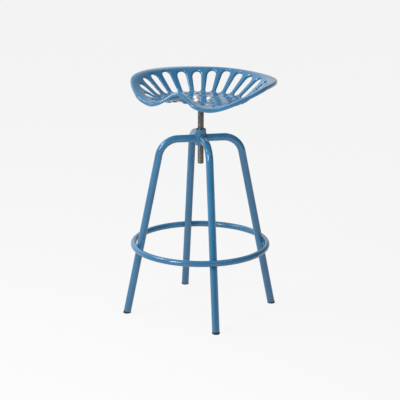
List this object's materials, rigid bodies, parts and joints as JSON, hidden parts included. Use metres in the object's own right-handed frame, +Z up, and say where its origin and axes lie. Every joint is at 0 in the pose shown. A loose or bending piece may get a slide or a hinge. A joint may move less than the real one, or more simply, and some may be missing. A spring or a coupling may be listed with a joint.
{
  "type": "tractor seat stool",
  "caption": "Bar-height stool with a perforated, dished tractor-style metal seat on a screw spindle that raises it as it turns, splayed bent-tube legs and a round footrest ring.",
  "frame": {"origin": "on the floor, on the axis of the spindle", "axes": "+Z up along the spindle; the front of the seat, with its pommel, faces -Y"},
  "size_m": [0.4258, 0.4138, 0.7021],
  "materials": {
    "paint": "glossy blue powder coat",
    "screw_steel": "oiled bare steel",
    "bolt_zinc": "bright zinc plate",
    "rubber": "matte black"
  },
  "bodies": {
    "base": {"hub_sleeve": "paint", "spindle_nut": "screw_steel", "leg_1": "paint", "leg_2": "paint", "leg_3": "paint", "leg_4": "paint", "glide_1": "rubber", "glide_2": "rubber", "glide_3": "rubber", "glide_4": "rubber", "foot_ring": "paint"},
    "lift": {"buffer_ring": "rubber"},
    "seat": {"spindle": "screw_steel", "mounting_plate": "paint", "seat_pan": "paint", "seat_bolt_1": "bolt_zinc", "seat_bolt_2": "bolt_zinc", "seat_bolt_3": "bolt_zinc", "seat_washer_1": "bolt_zinc", "seat_washer_2": "bolt_zinc", "seat_washer_3": "bolt_zinc"}
  },
  "joints": [
    {"name": "screw_lift", "type": "slide", "parent": "base", "child": "lift", "axis": [0, 0, 1], "range_m": [-0.0721, 0.0601]},
    {"name": "seat_turn", "type": "hinge", "parent": "lift", "child": "seat", "pos_m": [0, 0, 0.5305], "axis": [0, 0, 1], "range_deg": [-6480, 5400]}
  ],
  "couplings": [
    {"joint": "screw_lift", "follows": "seat_turn", "m_per_rad": 0.00063662}
  ]
}
